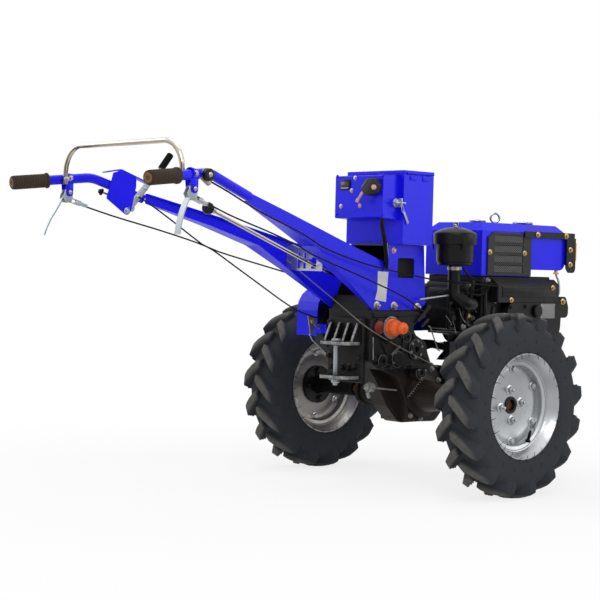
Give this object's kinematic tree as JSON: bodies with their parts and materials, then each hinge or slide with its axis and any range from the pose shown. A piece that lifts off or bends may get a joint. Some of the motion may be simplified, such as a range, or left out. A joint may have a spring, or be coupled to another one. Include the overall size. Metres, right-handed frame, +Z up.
{
  "type": "walking tractor",
  "caption": "Two-wheeled walking tractor with long handles, lugged tyres, diesel engine under a blue hood, battery box, belt drive, rear hitch and front stand.",
  "frame": {"origin": "on the ground, in the middle of the machine's overall length and width", "axes": "+X forward, +Y to the machine's left, +Z up"},
  "size_m": [2.0833, 1.0506, 1.071],
  "materials": {
    "blue_paint": "gloss",
    "black_paint": "satin",
    "black_casting": "satin",
    "tyre_rubber": "matte",
    "silver_paint": "satin",
    "zinc": "satin",
    "chrome": "polished",
    "grip_rubber": "matte",
    "belt_rubber": "matte",
    "orange_plastic": "satin",
    "amber_plastic": "gloss",
    "black_plastic": "satin"
  },
  "bodies": {
    "chassis": {"gearbox_case": "black_casting", "hitch_bracket": "black_casting", "hitch_pin": "zinc", "shaft_cap": "orange_plastic", "handle_base": "blue_paint", "handle_arm_left": "blue_paint", "handle_arm_right": "blue_paint", "handle_tube_left": "blue_paint", "handle_tube_right": "blue_paint", "grip_left": "grip_rubber", "grip_right": "grip_rubber", "squeeze_lever_left": "silver_paint", "squeeze_lever_right": "silver_paint", "grab_bar": "chrome", "lever_bracket": "blue_paint", "clutch_lever": "zinc", "clutch_grip": "grip_rubber", "gate_plate": "silver_paint", "gear_rod": "chrome", "gear_knob": "black_plastic", "battery_box": "blue_paint", "battery": "black_plastic", "control_panel": "blue_paint", "battery_switch": "black_plastic", "engine_block": "black_casting", "cylinder_head": "black_casting", "gear_cover": "black_paint", "side_cover": "black_paint", "front_cover": "black_paint", "muffler": "black_paint", "radiator_housing": "blue_paint", "grille_left": "black_paint", "grille_right": "black_paint", "fuel_tank": "blue_paint", "radiator_cap": "chrome", "fuel_cap": "chrome", "front_guard": "black_paint", "front_lamp_left": "amber_plastic", "front_lamp_right": "amber_plastic", "air_cleaner": "black_paint", "intake_pipe": "black_paint", "flywheel": "black_casting", "clutch_pulley": "black_casting", "drive_belts": "belt_rubber", "belt_guard": "blue_paint", "engine_frame": "black_paint", "steering_cable_left": "black_plastic", "steering_cable_right": "black_plastic", "clutch_cable": "black_plastic"},
    "left_wheel": {"tyre_left": "tyre_rubber", "rim_left": "silver_paint", "wheel_hub_left": "black_paint", "axle_shaft_left": "zinc"},
    "right_wheel": {"tyre_right": "tyre_rubber", "rim_right": "silver_paint", "wheel_hub_right": "black_paint", "axle_shaft_right": "zinc"},
    "stand": {"front_stand": "black_paint"},
    "lid": {"battery_lid": "blue_paint"}
  },
  "joints": [
    {"name": "left_wheel_spin", "type": "hinge", "parent": "chassis", "child": "left_wheel", "pos_m": [0.33735, 0.4525, 0.296], "axis": [0, 1, 0], "continuous": true},
    {"name": "right_wheel_spin", "type": "hinge", "parent": "chassis", "child": "right_wheel", "pos_m": [0.33735, -0.4525, 0.296], "axis": [0, 1, 0], "continuous": true},
    {"name": "stand_fold", "type": "hinge", "parent": "chassis", "child": "stand", "pos_m": [0.93735, 0, 0.372], "axis": [0, 1, 0], "range_deg": [0, 96]},
    {"name": "lid_hinge", "type": "hinge", "parent": "chassis", "child": "lid", "pos_m": [0.22885, -0.135, 1.036], "axis": [1, 0, 0], "range_deg": [0, 100]}
  ]
}
